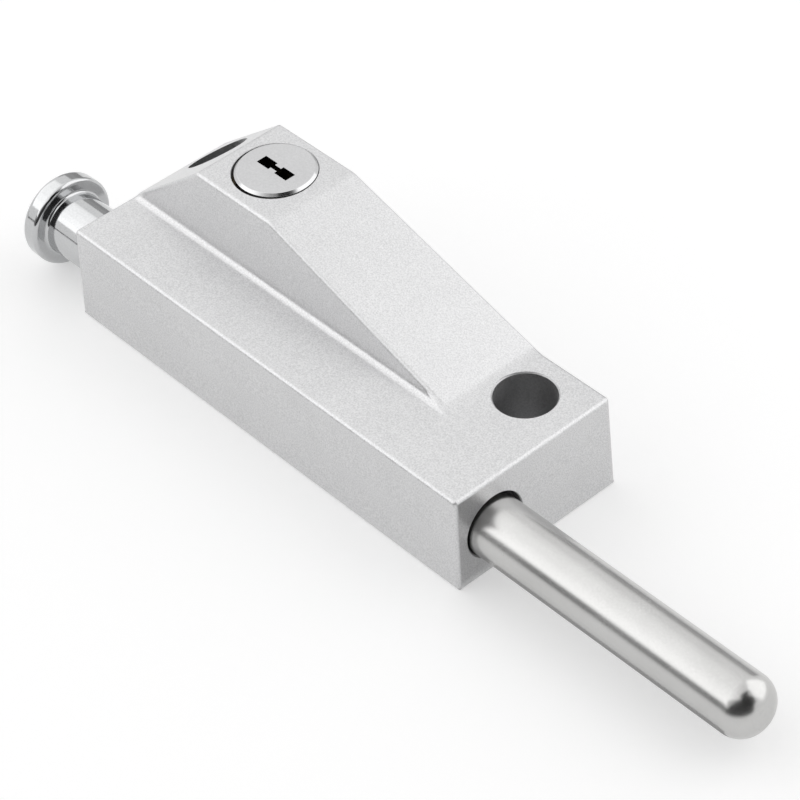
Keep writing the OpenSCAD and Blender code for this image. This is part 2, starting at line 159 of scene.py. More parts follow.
class Graph:
    """A material's or the world's nodes, written as expressions."""

    def __init__(self, tree: bpy.types.NodeTree) -> None:
        """Starts from an empty tree."""
        self.tree = tree
        tree.nodes.clear()

    def node(
        self,
        kind: str,
        settings: dict[str, Any] | None = None,
        inputs: dict[str | int, Any] | None = None,
        output: str | int = 0,
    ) -> Sock:
        """Adds any node.

        Args:
            kind: the node's type.
            settings: its own settings, set first.
            inputs: values or sockets, by the input's name or place.
            output: the output that is wanted.

        Returns:
            That output.
        """
        made = self.tree.nodes.new(kind)
        for name, value in (settings or {}).items():
            setattr(made, name, value)
        for name, value in (inputs or {}).items():
            if isinstance(value, Sock):
                self.tree.links.new(value.out, made.inputs[name])
            else:
                made.inputs[name].default_value = value
        return Sock(self, made.outputs[output])

    def end(self, kind: str, shader: Sock) -> None:
        """Adds the output node and joins the shader to it."""
        self.tree.links.new(shader.out, self.tree.nodes.new(kind).inputs["Surface"])

    def here(self) -> Sock:
        """The point of the surface, in metres."""
        return self.node("ShaderNodeTexCoord", output="Object")

    def stretched(self, scale: Triple) -> Sock:
        """The point of the surface, with each axis scaled for a drawn-out pattern."""
        inputs = {"Vector": self.here(), "Scale": scale}
        return self.node("ShaderNodeMapping", {"vector_type": "POINT"}, inputs)

    def noise(self, scale: float, detail: float, where: Sock | None = None) -> Sock:
        """Cloudy noise around NOISE_MEAN.

        Args:
            scale: blobs a metre.
            detail: finer layers on top.
            where: the coordinate, or the surface point when left out.

        Returns:
            The noise value.
        """
        inputs = {"Vector": where or self.here(), "Scale": scale, "Detail": detail}
        return self.node("ShaderNodeTexNoise", None, inputs)

    def blend(self, mask: Sock, low: Sequence[float], high: Sequence[float]) -> Sock:
        """Mixes two colours by a mask.

        Args:
            mask: the share, 0 to 1.
            low: the colour at 0.
            high: the colour at 1.

        Returns:
            The colour.
        """
        # among the node's sockets the two colours stand at 6 and 7, and the result at 2
        settings = {"data_type": "RGBA"}
        inputs = {0: mask, 6: (*low, 1), 7: (*high, 1)}
        return self.node("ShaderNodeMix", settings, inputs, output=2)

    def bump(self, height: Sock, depth: float) -> Sock:
        """A normal that follows a height field from 0 to 1, with its full depth in metres."""
        inputs = {"Strength": 1, "Distance": depth, "Height": height}
        return self.node("ShaderNodeBump", None, inputs)


def blank_material(name: str) -> tuple[bpy.types.Material, Graph]:
    """Adds a material without nodes.

    Args:
        name: its name.

    Returns:
        The material and its graph.
    """
    material = bpy.data.materials.new(name)
    material.use_nodes = True
    return material, Graph(material.node_tree)


# finishes


# the noise's middle and detail, and the shares and smooth steps that every finish makes of it
NOISE_MEAN = 0.5
NOISE_DETAIL = 3
TONE_STEP = (0.25, 0.75)
ROUGH_STEP = (0.3, 0.7)
ROUGH_GRAIN = 0.6
FLAKE_STEP = (0.62, 0.72)
FLAKE_SCALE = 2.3
FLAKE_DETAIL = 1


@dataclass(frozen=True)
class Finish:
    """A metal or plastic surface: a fine grain and a broad cloud that vary its constants.

    Attributes:
        name: the material's name.
        slot: the record's slot that it fills.
        dark: the colour where the noise is low.
        light: the colour where it is high.
        metallic: 1 for bare metal, 0 for plastic, less than 1 for a metallic coating.
        rough: the lowest and the highest roughness.
        grain: blobs a metre of the fine noise.
        grain_depth: its relief in metres.
        stretch: how much finer the grain is along each axis.
        cloud: blobs a metre of the broad noise.
        cloud_share: its share of the colour's change, the rest being the grain's.
        speck: how much small flakes lighten the colour.
    """

    name: str
    slot: str
    # slot: the record's slot that it is meant for.
    dark: Triple
    light: Triple
    metallic: float
    rough: Pair
    grain: float
    grain_depth: float
    stretch: Triple = (1, 1, 1)
    cloud: float = 60
    cloud_share: float = 0.4
    speck: float = 0

    def make(self) -> bpy.types.Material:
        """Builds the finish.

        Returns:
            The material.
        """
        material, g = blank_material(self.name)
        grain = g.noise(self.grain, NOISE_DETAIL, g.stretched(self.stretch))
        cloud = g.noise(self.cloud, NOISE_DETAIL)
        cloudy = (cloud - NOISE_MEAN) * self.cloud_share
        tone = cloudy + (grain - NOISE_MEAN) * (1 - self.cloud_share) + NOISE_MEAN
        if self.speck:
            flakes = g.noise(self.grain * FLAKE_SCALE, FLAKE_DETAIL)
            tone = tone + flakes.above(*FLAKE_STEP) * self.speck
        low, high = self.rough
        fine = grain.above(*ROUGH_STEP) * ((high - low) * ROUGH_GRAIN)
        broad = cloud.above(*ROUGH_STEP) * ((high - low) * (1 - ROUGH_GRAIN))
        inputs = {
            "Base Color": g.blend(tone.above(*TONE_STEP), self.dark, self.light),
            "Roughness": fine + broad + low,
            "Metallic": self.metallic,
            "Normal": g.bump(grain, self.grain_depth),
        }
        g.end("ShaderNodeOutputMaterial", g.node("ShaderNodeBsdfPrincipled", None, inputs))
        return material


CAST_SILVER = Finish(
    name="cast_silver", slot="cast_silver",
    dark=(0.56, 0.56, 0.565), light=(0.78, 0.78, 0.785), metallic=0.64, rough=(0.28, 0.37),
    grain=3600, grain_depth=0.000014, cloud=90, cloud_share=0.12, speck=0.4,
)
# uncoated metal for every hole and the room inside; its darker tone is painted shade for the
# insides of the holes
HOLE_SHADE_METAL = Finish(
    name="hole_shade_metal", slot="cast_silver",
    dark=(0.44, 0.44, 0.445), light=(0.62, 0.62, 0.625), metallic=1, rough=(0.42, 0.56),
    grain=2600, grain_depth=0.00003, cloud=300, cloud_share=0.3,
)
BRIGHT_CHROME = Finish(
    name="bright_chrome", slot="bright_chrome",
    dark=(0.50, 0.505, 0.51), light=(0.56, 0.565, 0.57), metallic=1, rough=(0.08, 0.12),
    grain=2500, grain_depth=0.0000004, cloud=150,
)
FACE_CHROME = Finish(
    name="face_chrome", slot="bright_chrome",
    dark=(0.55, 0.55, 0.555), light=(0.61, 0.61, 0.615), metallic=1, rough=(0.14, 0.20),
    grain=2500, grain_depth=0.0000006, cloud=150,
)
POLISHED_STEEL = Finish(
    name="polished_steel", slot="polished_steel",
    dark=(0.49, 0.487, 0.48), light=(0.58, 0.577, 0.57), metallic=1, rough=(0.20, 0.28),
    grain=2600, grain_depth=0.0000015, stretch=(6, 1, 1), cloud=110,
)
ZINC_STEEL = Finish(
    name="zinc_steel", slot="zinc_steel",
    dark=(0.50, 0.51, 0.53), light=(0.68, 0.69, 0.70), metallic=1, rough=(0.24, 0.38),
    grain=1800, grain_depth=0.000004, cloud=240, cloud_share=0.6,
)
SPRING_STEEL = Finish(
    name="spring_steel", slot="spring_steel",
    dark=(0.30, 0.30, 0.32), light=(0.46, 0.46, 0.48), metallic=1, rough=(0.22, 0.34),
    grain=2600, grain_depth=0.000002,
)
# the lock's brass, darkened nearly to black: painted shade for the keyway and the gap around the
# lock's face, where it shows
BRASS_IN_SHADE = Finish(
    name="lock_brass", slot="lock_brass",
    dark=(0.05, 0.04, 0.022), light=(0.12, 0.10, 0.06), metallic=1, rough=(0.34, 0.48),
    grain=3000, grain_depth=0.000002, stretch=(1, 1, 5),
)
BUSH_PLASTIC = Finish(
    name="bush_plastic", slot="bush_plastic",
    dark=(0.018, 0.018, 0.019), light=(0.035, 0.035, 0.036), metallic=0, rough=(0.38, 0.5),
    grain=2200, grain_depth=0.000006,
)
FINISHES = (
    CAST_SILVER, HOLE_SHADE_METAL, BRIGHT_CHROME, FACE_CHROME, POLISHED_STEEL, ZINC_STEEL,
    SPRING_STEEL, BRASS_IN_SHADE, BUSH_PLASTIC,
)


# shapes


def arc(x: float, y: float, r: float, a0: float, a1: float, steps: int) -> list[Pair]:
    """Points on an arc.

    Args:
        x: centre, first value.
        y: centre, second value.
        r: radius.
        a0: first angle in degrees.
        a1: last angle in degrees.
        steps: number of chords.

    Returns:
        The points, both ends among them.
    """
    angles = [math.radians(a0 + (a1 - a0) * i / steps) for i in range(steps + 1)]
    return [(x + r * math.cos(a), y + r * math.sin(a)) for a in angles]


def box(low: Sequence[float], high: Sequence[float]) -> bmesh.types.BMesh:
    """Draws a cuboid.

    Args:
        low: the corner with the lowest values.
        high: the corner with the highest values.

    Returns:
        Its bmesh.
    """
    bm = bmesh.new()
    middle = [(a + b) / 2 for a, b in zip(low, high, strict=True)]
    size = [b - a for a, b in zip(low, high, strict=True)]
    place = Matrix.Translation(middle) @ Matrix.Diagonal((*size, 1))
    bmesh.ops.create_cube(bm, size=1, matrix=place)
    return bm


def points_of(grown: dict[str, list[Any]]) -> list[bmesh.types.BMVert]:
    """The vertices among what an operator returns."""
    return [v for v in grown["geom"] if isinstance(v, bmesh.types.BMVert)]


def mesh_of(bm: bmesh.types.BMesh, name: str) -> bpy.types.Mesh:
    """Turns a bmesh into a mesh and frees it.

    Args:
        bm: the bmesh.
        name: the mesh's name.

    Returns:
        The mesh.
    """
    mesh = bpy.data.meshes.new(name)
    bm.to_mesh(mesh)
    bm.free()
    return mesh


def stand(name: str, data: bpy.types.ID) -> bpy.types.Object:
    """Adds an object to the scene.

    Args:
        name: its name.
        data: its mesh, lamp or camera.

    Returns:
        The object.
    """
    thing = bpy.data.objects.new(name, data)
    bpy.context.scene.collection.objects.link(thing)
    return thing


class Solid:
    """A closed mesh that is cut and joined in millimetres."""

    def __init__(self, bm: bmesh.types.BMesh) -> None:
        """Takes over a bmesh as a linked object, with its normals outwards.

        Args:
            bm: the bmesh, which is freed.
        """
        bmesh.ops.remove_doubles(bm, verts=bm.verts[:], dist=DRAWN)
        bmesh.ops.recalc_face_normals(bm, faces=bm.faces[:])
        self.thing = stand("solid", mesh_of(bm, "solid"))

    @staticmethod
    def prism(outline: Outline, axis: Axis, low: float, high: float) -> "Solid":
        """Draws a flat outline out along an axis.

        Args:
            outline: points across the axis, in X, Y, Z order of the other two axes.
            axis: the direction.
            low: where it starts.
            high: where it ends.

        Returns:
            The solid.
        """
        bm = bmesh.new()
        face = bm.faces.new([bm.verts.new((u, v, 0)) for u, v in outline])
        grown = bmesh.ops.extrude_face_region(bm, geom=[face], use_keep_orig=True)
        bmesh.ops.translate(bm, verts=points_of(grown), vec=(0, 0, high - low))
        start = Vector((0, 0, 0))
        start["XYZ".index(axis.name)] = high if axis is Axis.Y else low
        place = Matrix.Translation(start) @ axis.value
        bmesh.ops.transform(bm, matrix=place, verts=bm.verts[:])
        return Solid(bm)

    @staticmethod
    def block(low: Sequence[float], high: Sequence[float]) -> "Solid":
        """A cuboid between two corners."""
        return Solid(box(low, high))

    @staticmethod
    def turned(
        profile: Outline, axis: Axis, centre: Sequence[float], steps: int = STEPS
    ) -> "Solid":
        """Spins a profile about an axis.

        Args:
            profile: radius and place along the axis, from one end on the axis to the other.
            axis: the axis's direction.
            centre: a point that the axis passes, with 0 along the axis.
            steps: facets around.

        Returns:
            The solid.
        """
        bm = bmesh.new()
        line = [bm.verts.new((r, 0, z)) for r, z in profile]
        edges = [bm.edges.new(pair) for pair in zip(line, line[1:], strict=False)]
        bmesh.ops.spin(
            bm, geom=[*line, *edges], cent=(0, 0, 0), axis=(0, 0, 1), dvec=(0, 0, 0),
            angle=math.tau, steps=steps, use_merge=True, use_duplicate=False,
        )
        place = Matrix.Translation(centre) @ axis.value
        bmesh.ops.transform(bm, matrix=place, verts=bm.verts[:])
        return Solid(bm)

    @staticmethod
    def drum(
        radius: float, axis: Axis, centre: Sequence[float], low: float, high: float,
        steps: int = STEPS,
    ) -> "Solid":
        """A round bar from low to high along an axis."""
        profile = [(0, low), (radius, low), (radius, high), (0, high)]
        return Solid.turned(profile, axis, centre, steps)

    @staticmethod
    def pillar(radius: float, at: Pair, low: float, high: float, steps: int = STEPS) -> "Solid":
        """An upright round bar from low to high."""
        return Solid.drum(radius, Axis.Z, (*at, 0), low, high, steps)

    def coat(self, *finishes: bpy.types.Material, use: int = 0) -> "Solid":
        """Gives the solid its finishes, and every face the one at place use.

        Args:
            finishes: the materials, in the same order on every solid that is joined to it.
            use: which of them the faces take.

        Returns:
            The same solid.
        """
        mesh = self.thing.data
        for finish in finishes:
            mesh.materials.append(finish)
        mesh.polygons.foreach_set("material_index", [use] * len(mesh.polygons))
        return self

    def settle(self) -> "Solid":
        """Applies the modifiers to the mesh.

        Returns:
            The same solid.
        """
        graph = bpy.context.evaluated_depsgraph_get()
        graph.update()
        old = self.thing.data
        self.thing.data = bpy.data.meshes.new_from_object(self.thing.evaluated_get(graph))
        self.thing.modifiers.clear()
        bpy.data.meshes.remove(old)
        return self

    def carve(self, how: Carve, *others: "Solid") -> "Solid":
        """Takes other solids away from this one or joins them to it, and uses them up.

        Args:
            how: whether they are taken away or joined.
            others: the other solids.

        Returns:
            The same solid.
        """
        for other in others:
            step = self.thing.modifiers.new("carve", "BOOLEAN")
            step.operation = how.value
            step.solver = "EXACT"
            step.object = other.thing
            self.settle()
            bpy.data.objects.remove(other.thing)
        return self

    def finish(
        self, name: str, body: str, slot: str, *nodes: str, sharp: float = 30
    ) -> bpy.types.Object:
        """Turns the solid into a piece of the scene, in metres.

        Args:
            name: the piece's name.
            body: the body that it rides on.
            slot: the record's slot for its finish; not used.
            nodes: the nodes that it stands for.
            sharp: edges past this angle, in degrees, stay sharp.

        Returns:
            The piece.
        """
        thing = self.thing
        bm = bmesh.new()
        bm.from_mesh(thing.data)
        bmesh.ops.remove_doubles(bm, verts=bm.verts[:], dist=WELDED)
        bmesh.ops.recalc_face_normals(bm, faces=bm.faces[:])
        bmesh.ops.scale(bm, vec=(MM, MM, MM), verts=bm.verts[:])
        open_edges = sum(not e.is_manifold for e in bm.edges)
        bm.to_mesh(thing.data)
        bm.free()
        thing.name = thing.data.name = name
        mesh = thing.data
        mesh.polygons.foreach_set("use_smooth", [True] * len(mesh.polygons))
        mesh.set_sharp_from_angle(angle=math.radians(sharp))
        even = thing.modifiers.new("even_normals", "WEIGHTED_NORMAL")
        even.keep_sharp = True
        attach(thing, body)
        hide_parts(*nodes)
        log.info("%s: %d faces, %d open edges, on %s", name, len(mesh.polygons), open_edges, body)
        return thing


# the casing


@dataclass
class Casing:
    """The die-cast casing: outer form, the room inside it, its bosses and its holes."""

    # outer form: half its length and width at the foot, its height beside and on the hump,
    # the wall, the slope of the leaning sides, where the hump's near side stands and how far
    # it leans in, both ends of the hump's flat top, and the foot of its front slope
    half_l: float = 53.8
    half_w: float = 19.4
    low_h: float = 20.4
    top_h: float = 35.2
    wall: float = 2.4
    lean: float = math.tan(math.radians(1.5))
    hump_y: float = -3.6
    hump_lean: float = 1.1
    top_rear: float = -34.3
    top_front: float = -13.2
    slope_foot: float = 35.0

    # how far the roundings reach: most edges, the crisp ones at the hump's far side and
    # rear, the upright corners, the hump's foot, the edge on the door, and the holes' rims
    edge_r: float = 0.75
    crisp_r: float = 0.4
    corner_r: float = 0.9
    foot_r: float = 1.5
    base_r: float = 0.12
    rounding_steps: int = 5
    rim: float = 0.25
    lock_rim: float = 0.12
    # a vertex within this of a height or place counts as being there
    near: float = 0.1

    # how deep the room in the hump dips into the lower one, and how far its ends run on
    lap: float = 0.5
    lap_rear: float = 0.6
    lap_front: float = 1.0

    # the bolt's end holes, with their centre's offset, and its bushes, whose seats are a
    # little longer
    end_hole_r: float = 6.5
    end_off: Pair = (0.15, 0.3)
    bush_r: float = 7.3
    bush_l: float = 8.0
    seat_extra: float = 0.1
    seat_wall: float = 1.5

    # the lock's socket, the bore around its face, and the slot that its cam turns in
    socket_r: float = 9.0
    socket_wall: float = 1.7
    bore_r: float = 8.25
    bore_l: float = 2.0
    bore_off: Pair = (-0.17, -0.17)
    shell_z: float = 11.0
    shell_top: float = 33.0
    cam_half_w: float = 5.7
    cam_y: float = 4.3

    # the screws that clamp the lock: how far from its axis, in which directions, hole and
    # boss. The holes have other facets than the bosses, so that no faces share a plane
    clamp_r: float = 10.9
    clamp_angles: Pair = (-165, -15)
    clamp_hole_r: float = 1.25
    clamp_hole_l: float = 9.0
    clamp_steps: int = 44
    boss_r: float = 2.8

    # the base plate's pocket, the ledge around it, and its screws. Their bosses start
    # inside the pocket, which then cuts them off level
    plate_t: float = 1.5
    plate_ledge: float = 0.9
    boss_sink: float = 0.3
    plate_hole_r: float = 1.3
    plate_hole_l: float = 6.5
    plate_screws: list[Pair] = field(
        default_factory=lambda: [(28, 12.5), (28, 0.344), (-7.7, 12.5), (-39.5, -0.656)]
    )

    # the screws into the door: where their heads rest, their recesses and shanks
    floor_z: float = 4.5
    recess_r: float = 5.95
    recess_wall: float = 2.2
    shank_r: float = 2.75
    screws: list[Pair] = field(default_factory=lambda: [(41.9, 9.0), (-44.4, 10.4)])

    def outer(self) -> Solid:
        """The outer form with rounded edges.

        Returns:
            The solid.
        """
        bm = box((-self.half_l, -self.half_w, 0), (self.half_l, self.half_w, self.low_h))
        inset = self.lean * self.low_h
        for v in bm.verts:
            if v.co.z > self.near:
                v.co.x -= math.copysign(inset, v.co.x)
                v.co.y -= math.copysign(inset, v.co.y)
        self._grow_hump(bm)
        bmesh.ops.remove_doubles(bm, verts=bm.verts[:], dist=WELDED)
        bm.normal_update()
        seams = [e for e in bm.edges if abs(e.calc_face_angle(1)) < FLAT]
        bmesh.ops.dissolve_edges(bm, edges=seams, use_verts=False)
        weight = bm.edges.layers.float.new("bevel_weight_edge")
        for e in bm.edges:
            e[weight] = self._rounding(e) / self.foot_r
        form = Solid(bm)
        rounding = form.thing.modifiers.new("rounding", "BEVEL")
        rounding.width = self.foot_r
        rounding.segments = self.rounding_steps
        rounding.limit_method = "WEIGHT"
        rounding.miter_outer = "MITER_SHARP"
        return form.settle()

    def _grow_hump(self, bm: bmesh.types.BMesh) -> None:
        """Draws the hump up from the far part of the low form's top.

        Args:
            bm: the low form, which is changed.
        """
        top = max(bm.faces, key=lambda f: f.calc_center_median().z)
        self._split(bm, top, (0, self.hump_y, 0), (0, 1, 0))
        far = max(self._upper(bm), key=lambda f: f.calc_center_median().y)
        self._split(bm, far, (self.slope_foot, 0, 0), (1, 0, 0))
        raised = [f for f in self._upper(bm) if f.calc_center_median().y > 0]
        rear = min(raised, key=lambda f: f.calc_center_median().x)
        grown = bmesh.ops.extrude_face_region(bm, geom=[rear])
        if rear.is_valid:
            bmesh.ops.delete(bm, geom=[rear], context="FACES_ONLY")
        rise = self.top_h - self.low_h
        for v in points_of(grown):
            v.co.z += rise
            v.co.x = self.top_rear if v.co.x < 0 else self.top_front
            v.co.y += self.hump_lean if v.co.y < 0 else -self.lean * rise

    def _rounding(self, edge: bmesh.types.BMEdge) -> float:
        """How far one edge's rounding reaches.

        Args:
            edge: the edge.

        Returns:
            The reach on each side.
        """
        low, high = sorted(v.co.z for v in edge.verts)
        if high < self.near:
            return self.base_r
        if high - low > self.low_h - self.near:
            return self.corner_r
        if not edge.is_convex:
            return self.foot_r
        ends = [v.co for v in edge.verts]
        raised = self.low_h + self.near
        far = min(v.y for v in ends) > 0 and high > raised
        behind = max(v.x for v in ends) < self.top_rear + self.near and low > raised
        return self.crisp_r if far or behind else self.edge_r

    @staticmethod
    def _upper(bm: bmesh.types.BMesh) -> list[bmesh.types.BMFace]:
        """The faces that look up."""
        bm.normal_update()
        return [f for f in bm.faces if f.normal.z > LEVEL]

    @staticmethod
    def _split(
        bm: bmesh.types.BMesh, face: bmesh.types.BMFace, point: Sequence[float],
        normal: Sequence[float],
    ) -> None:
        """Cuts one face in two where a plane crosses it."""
        geom = [face, *face.edges, *face.verts]
        bmesh.ops.bisect_plane(bm, geom=geom, dist=DRAWN, plane_co=point, plane_no=normal)

    def clamps(self) -> list[Pair]:
        """Where the lock's clamp screws stand.

        Returns:
            Their axes.
        """
        x, y = LOCK_AXIS
        turns = [math.radians(a) for a in self.clamp_angles]
        return [(x + self.clamp_r * math.cos(a), y + self.clamp_r * math.sin(a)) for a in turns]

    def bosses(self) -> list[Solid]:
        """What stands inside the room: pillars, lock boss, bush seats and screw bosses.

        Returns:
            The solids.
        """
        foot = self.plate_t - self.boss_sink
        recess = self.recess_r + self.recess_wall
        made = [Solid.pillar(recess, at, foot, ABOVE) for at in self.screws]
        made.append(
            Solid.pillar(self.socket_r + self.socket_wall, LOCK_AXIS, self.shell_z, ABOVE)
        )
        made += [Solid.pillar(self.boss_r, at, self.shell_z, ABOVE, SMALL_STEPS)
                 for at in self.clamps()]
        seat = self.bush_l + self.seat_extra
        inner = self.half_l - self.wall
        around = self.bush_r + self.seat_wall
        for low in (-inner - OVER, inner - seat):
            made.append(Solid.drum(around, Axis.X, (0, *BOLT_AXIS), low, low + seat + OVER))
        made += [Solid.pillar(self.boss_r, at, foot, ABOVE, SMALL_STEPS)
                 for at in self.plate_screws]
        return made

    def room(self) -> Solid:
        """The hollow inside, open underneath.

        Returns:
            The solid to take away.
        """
        w = self.wall
        inset = w + self.lean * self.low_h
        top, high = self.low_h - w, self.top_h - w
        x, y = self.half_l - inset, self.half_w - inset
        room = Solid.block((-x, -y, -OVER), (x, y, top))
        rise = self.top_h - self.low_h
        rear = math.atan2(rise, self.top_rear + self.half_l - inset + w)
        front = math.atan2(rise, self.slope_foot - self.top_front)
        x0 = -self.half_l + inset - w + (w / math.cos(rear) - w) / math.tan(rear)
        x1 = self.slope_foot - (w / math.cos(front) - w) / math.tan(front)
        outline = [
            (x0 - self.lap_rear, top - self.lap), (x0, top),
            (self.top_rear + w * math.tan(rear / 2), high),
            (self.top_front - w * math.tan(front / 2), high),
            (x1, top), (x1 + self.lap_front, top - self.lap),
        ]
        y0 = self.hump_y + self.hump_lean + w
        y1 = self.half_w - self.lean * self.top_h - w
        room.carve(Carve.JOIN, Solid.prism(outline, Axis.Y, y0, y1))
        return room.carve(Carve.TAKE, *self.bosses())

    def bolt_holes(self) -> list[Solid]:
        """The round holes in both ends, and the bushes' seats behind them.

        Returns:
            The solids to take away.
        """
        y, z = BOLT_AXIS
        across, up = self.end_off
        r, rim, out = self.end_hole_r, self.rim, self.half_l + OVER
        flat = self.half_l - self.lean * z
        ends = Solid.turned(
            [(0, -out), (r + rim + OVER, -out), (r + rim, -flat), (r, -flat + rim),
             (r, flat - rim), (r + rim, flat), (r + rim + OVER, out), (0, out)],
            Axis.X, (0, y + across, z + up))
        inner = self.half_l - self.wall
        depth = self.bush_l + OVER
        seats = [Solid.drum(self.bush_r, Axis.X, (0, y, z), low, low + depth)
                 for low in (-inner, inner - self.bush_l - OVER)]
        return [ends, *seats]

    def lock_holes(self) -> list[Solid]:
        """The slot for the lock's cam, its socket, and the bore around its face.

        Returns:
            The solids to take away.
        """
        x, y = LOCK_AXIS
        slot = Solid.block((x - self.cam_half_w, BOLT_AXIS[0], self.plate_t),
                           (x + self.cam_half_w, self.cam_y, self.shell_z))
        socket = Solid.pillar(
            self.socket_r, LOCK_AXIS, self.shell_z - OVER, self.shell_top, FINE_STEPS)
        r, rim, top = self.bore_r, self.lock_rim, self.top_h
        low = self.shell_top - self.bore_l
        across, along = self.bore_off
        bore = Solid.turned(
            [(0, low), (r, low), (r, top - rim), (r + rim, top), (r + rim, top + OVER),
             (0, top + OVER)],
            Axis.Z, (x + across, y + along, 0), FINE_STEPS)
        return [slot, socket, bore]

    def screw_holes(self) -> list[Solid]:
        """The holes of the clamp screws and the plate's screws, and the screws' recesses.

        Returns:
            The solids to take away.
        """
        low, high = self.shell_z - OVER, self.shell_z + self.clamp_hole_l
        made = [Solid.pillar(self.clamp_hole_r, at, low, high, self.clamp_steps)
                for at in self.clamps()]
        low, high = self.plate_t - OVER, self.plate_t + self.plate_hole_l
        made += [Solid.pillar(self.plate_hole_r, at, low, high, SMALL_STEPS)
                 for at in self.plate_screws]
        for x, y in self.screws:
            mouth = self.recess_r + (self.rim if x > 0 else 0)
            made.append(Solid.turned(
                [(0, -OVER), (self.shank_r, -OVER), (self.shank_r, self.floor_z),
                 (self.recess_r, self.floor_z), (self.recess_r, self.low_h - self.rim),
                 (mouth, self.low_h), (mouth, ABOVE), (0, ABOVE)], Axis.Z, (x, y, 0)))
        return made

    def holes(self) -> list[Solid]:
        """Every hole and pocket of the casing, with its slightly broken rim.

        Returns:
            The solids to take away.
        """
        inset = self.wall + self.lean * self.low_h - self.plate_ledge
        x, y = self.half_l - inset, self.half_w - inset
        pocket = Solid.block((-x, -y, -OVER), (x, y, self.plate_t))
        return [pocket, *self.bolt_holes(), *self.lock_holes(), *self.screw_holes()]

    def build(self, coat: bpy.types.Material, hole_shade: bpy.types.Material) -> bpy.types.Object:
        """Makes the casing.

        Args:
            coat: the coating outside.
            hole_shade: the uncoated metal in the holes and inside, darker than the coat as
                painted shade for the holes.

        Returns:
            The piece.
        """
        form = self.outer().coat(coat, hole_shade)
        cuts = [cut.coat(coat, hole_shade, use=1) for cut in (self.room(), *self.holes())]
        form.carve(Carve.TAKE, *cuts)
        return form.finish("casing", "casing", CAST_SILVER.slot, "body_casting")


# the bolt and its knob


@dataclass
class Bolt:
    """The sliding bolt and its knob."""

    # the bar from its rear to its tip, with a broken rear edge and a round nose
    r: float = 6.0
    rear: float = -54.05
    tip: float = 117.5
    rear_break: float = 0.5
    nose_r: float = 5.0
    nose_flat_r: float = 2.25
    nose_steps: int = 16

    # two notches that the lock's dog enters, one bolt's travel apart, and the pin's slot
    notch_x: float = LOCK_AXIS[0]
    travel: float = 62.0
    notch_w: float = 7.8
    notch_d: float = 3.8
    slot_x: Pair = (-40.1, 26.1)
    slot_r: float = 2.15
    slot_d: float = 2.6
    slot_steps: int = 16

    # the stud's holes in the bolt and in the knob
    stud_r: float = 2.55
    stud_hole_l: float = 14.0
    knob_hole_l: float = 12.0

    # the knob: its neck, which ends in a broken edge just behind the bolt, and its flange,
    # whose back looks away from the bolt
    knob_gap: float = 0.01
    neck_r: float = 6.6
    neck_l: float = 12.9
    neck_break: Pair = (0.5, 0.15)
    neck_foot_r: float = 0.7
    neck_steps: int = 10
    flange_r: float = 9.4
    flange_t: float = 4.4
    flange_back_r: float = 1.4
    flange_face_r: float = 0.9
    flange_steps: int = 12

    def rod(self, finish: bpy.types.Material) -> bpy.types.Object:
        """Makes the bolt.

        Args:
            finish: its material.

        Returns:
            The piece.
        """
        axis = (0, *BOLT_AXIS)
        form = Solid.turned(self._rod_profile(), Axis.X, axis, FINE_STEPS)
        cuts = [self._notch(x) for x in (self.notch_x, self.notch_x + self.travel)]
        cuts.append(self._slot())
        low, high = self.rear - OVER, self.rear + self.stud_hole_l
        cuts.append(Solid.drum(self.stud_r, Axis.X, axis, low, high, SMALL_STEPS))
        form.carve(Carve.TAKE, *cuts).coat(finish)
        return form.finish("bolt", "bolt", POLISHED_STEEL.slot, "bolt_rod", sharp=10)

    def _rod_profile(self) -> Outline:
        """The bar's outline from its rear to its tip.

        Returns:
            Its radius and place along the bolt, point by point.
        """
        last = math.degrees(math.asin((self.nose_flat_r - self.r + self.nose_r) / self.nose_r))
        centre = self.tip - self.nose_r * math.cos(math.radians(last))
        low = self.r - self.nose_r
        nose = arc(centre, low, self.nose_r, 90, last, self.nose_steps)
        return [
            (0, self.rear), (self.r - self.rear_break, self.rear),
            (self.r, self.rear + self.rear_break), *((r, x) for x, r in nose), (0, self.tip),
        ]

    def _notch(self, x: float) -> Solid:
        """One notch for the dog.

        Args:
            x: where its middle is along the bolt.

        Returns:
            The solid to take away.
        """
        y, z = BOLT_AXIS
        reach = self.r + OVER
        return Solid.block((x - self.notch_w / 2, y + self.r - self.notch_d, z - self.r - OVER),
                           (x + self.notch_w / 2, y + reach, z + reach))

    def _slot(self) -> Solid:
        """The slot underneath that the guide pin runs in.

        Returns:
            The solid to take away.
        """
        y, z = BOLT_AXIS
        bottom = z - self.r
        rear, front = self.slot_x
        w, steps = self.slot_r, self.slot_steps
        outline = [*arc(front - w, y, w, -90, 90, steps), *arc(rear + w, y, w, 90, 270, steps)]
        return Solid.prism(outline, Axis.Z, bottom - OVER, bottom + self.slot_d)

    def knob(self, finish: bpy.types.Material) -> bpy.types.Object:
        """Makes the pull knob.

        Args:
            finish: its material.

        Returns:
            The piece.
        """
        front = self.rear - self.knob_gap
        face = front - self.neck_l
        back = face - self.flange_t
        back_r, face_r, foot_r = self.flange_back_r, self.flange_face_r, self.neck_foot_r
        whole, part = self.neck_break
        profile = [
            (0, back),
            *arc(self.flange_r - back_r, back + back_r, back_r, -90, 0, self.flange_steps),
            *arc(self.flange_r - face_r, face - face_r, face_r, 0, 90, self.flange_steps),
            *arc(self.neck_r + foot_r, face + foot_r, foot_r, 270, 180, self.neck_steps),
            (self.neck_r, front - whole), (self.neck_r - part, front - part),
            (self.neck_r - whole, front), (0, front),
        ]
        axis = (0, *BOLT_AXIS)
        form = Solid.turned(profile, Axis.X, axis, FINE_STEPS)
        low, high = front - self.knob_hole_l, front + OVER
        form.carve(Carve.TAKE, Solid.drum(self.stud_r, Axis.X, axis, low, high, SMALL_STEPS))
        return form.coat(finish).finish("knob", "bolt", BRIGHT_CHROME.slot, "pull_knob")


# the lock's face


